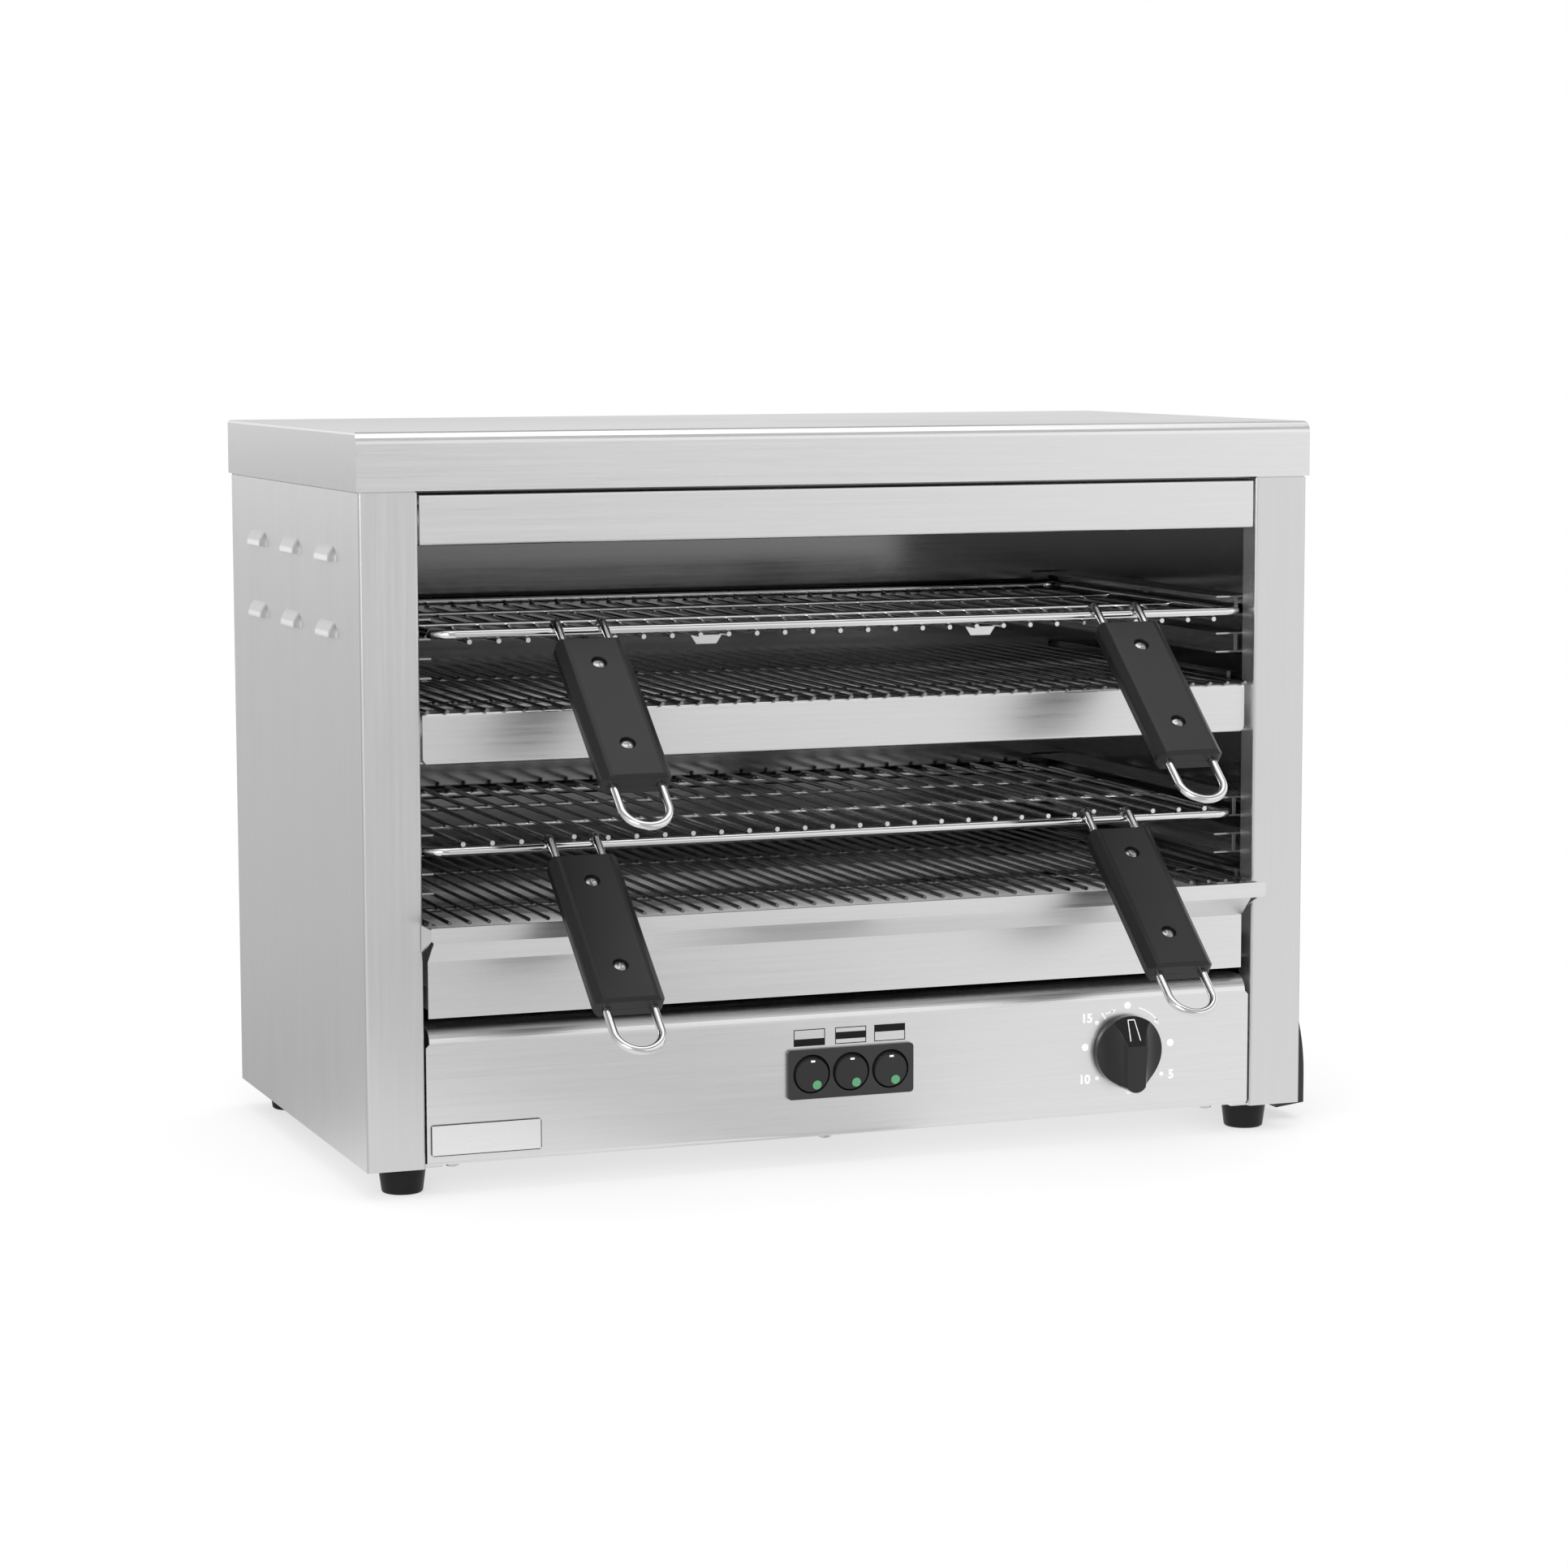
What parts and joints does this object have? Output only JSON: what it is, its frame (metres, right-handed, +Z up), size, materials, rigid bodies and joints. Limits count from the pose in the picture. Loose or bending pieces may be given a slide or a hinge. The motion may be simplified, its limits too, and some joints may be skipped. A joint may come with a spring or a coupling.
{
  "type": "countertop quartz toaster oven",
  "caption": "Open-fronted countertop toaster oven in brushed stainless steel with pull-out wire racks on black handles, rocker switches and a turning timer.",
  "frame": {"origin": "on the bench, under the middle of the whole oven's footprint from handle loops to rear screws and from left louvres to cable hood", "axes": "+X to the oven's right as seen from the front, +Y from the front to the back, +Z up"},
  "size_m": [0.5475, 0.3973, 0.3885],
  "materials": {
    "stainless": "brushed stainless sheet, satin",
    "cavity_steel": "plain rolled stainless, darker inside the oven",
    "chrome_wire": "bright chromed steel wire",
    "black_plastic": "satin black moulded plastic",
    "grip_plastic": "satin black phenolic moulding",
    "screw_steel": "zinc plated steel",
    "quartz": "milky quartz glass",
    "heating_wire": "oxidised resistance wire",
    "ceramic": "unglazed steatite ceramic, matt and opaque",
    "terminal_metal": "nickel plated steel",
    "timer_case": "zinc plated case",
    "terminal_plastic": "ivory moulded plastic",
    "wire_sleeve": "silicone sleeved wire",
    "foot_rubber": "black moulded rubber",
    "green_lens": "translucent green lens"
  },
  "bodies": {
    "cabinet": {"lid": "stainless", "left_side_panel": "stainless", "right_side_panel": "stainless", "rear_panel": "stainless", "base_plate": "stainless", "upper_fascia": "stainless", "middle_fascia": "stainless", "control_panel": "stainless", "left_inner_wall": "cavity_steel", "right_inner_wall": "cavity_steel", "rear_inner_wall": "cavity_steel", "top_reflector": "cavity_steel", "deck_floor": "cavity_steel", "left_rails": "cavity_steel", "right_rails": "cavity_steel", "upper_guard": "cavity_steel", "lower_guard": "cavity_steel", "quartz_tubes": "quartz", "heating_coils": "heating_wire", "tube_end_caps": "ceramic", "switch_frame": "black_plastic", "switch_terminals": "terminal_metal", "timer_housing": "timer_case", "timer_nut": "terminal_metal", "terminal_block": "terminal_plastic", "wiring": "wire_sleeve", "cable_hood": "black_plastic", "cable_gland": "black_plastic", "name_plate": "stainless", "feet": "foot_rubber", "foot_screws": "screw_steel", "panel_screws": "screw_steel"},
    "upper_rack": {"upper_rack_frame": "chrome_wire", "upper_rack_rods": "chrome_wire", "rack_stops": "chrome_wire", "upper_handle_wires": "chrome_wire", "upper_left_grip_top": "grip_plastic", "upper_left_grip_bottom": "grip_plastic", "upper_right_grip_top": "grip_plastic", "upper_right_grip_bottom": "grip_plastic", "upper_grip_screws": "screw_steel"},
    "lower_rack": {"lower_rack_frame": "chrome_wire", "lower_rack_rods": "chrome_wire", "lower_handle_wires": "chrome_wire", "lower_left_grip_top": "grip_plastic", "lower_left_grip_bottom": "grip_plastic", "lower_right_grip_top": "grip_plastic", "lower_right_grip_bottom": "grip_plastic", "lower_grip_screws": "screw_steel"},
    "crumb_tray": {"crumb_tray_pan": "stainless", "crumb_tray_front": "stainless"},
    "timer_dial": {"timer_shaft": "terminal_metal", "timer_knob": "black_plastic"},
    "left_switch": {"left_rocker": "black_plastic", "left_lens": "green_lens"},
    "middle_switch": {"middle_rocker": "black_plastic", "middle_lens": "green_lens"},
    "right_switch": {"right_rocker": "black_plastic", "right_lens": "green_lens"}
  },
  "joints": [
    {"name": "upper_rack_slide", "type": "slide", "parent": "cabinet", "child": "upper_rack", "axis": [0, -1, 0], "range_m": [0, 0.2]},
    {"name": "lower_rack_slide", "type": "slide", "parent": "cabinet", "child": "lower_rack", "axis": [0, -1, 0], "range_m": [0, 0.2]},
    {"name": "crumb_tray_slide", "type": "slide", "parent": "cabinet", "child": "crumb_tray", "axis": [0, -1, 0], "range_m": [0, 0.012]},
    {"name": "timer_turn", "type": "hinge", "parent": "cabinet", "child": "timer_dial", "pos_m": [0.15225, -0.08614, 0.0507], "axis": [0, 1, 0], "range_deg": [-33, 310]},
    {"name": "left_switch_rock", "type": "hinge", "parent": "cabinet", "child": "left_switch", "pos_m": [-0.03045, -0.08464, 0.0501], "axis": [-1, 0, 0], "range_deg": [0, 14]},
    {"name": "middle_switch_rock", "type": "hinge", "parent": "cabinet", "child": "middle_switch", "pos_m": [-0.00825, -0.08464, 0.0501], "axis": [-1, 0, 0], "range_deg": [0, 14]},
    {"name": "right_switch_rock", "type": "hinge", "parent": "cabinet", "child": "right_switch", "pos_m": [0.01395, -0.08464, 0.0501], "axis": [-1, 0, 0], "range_deg": [0, 14]}
  ]
}
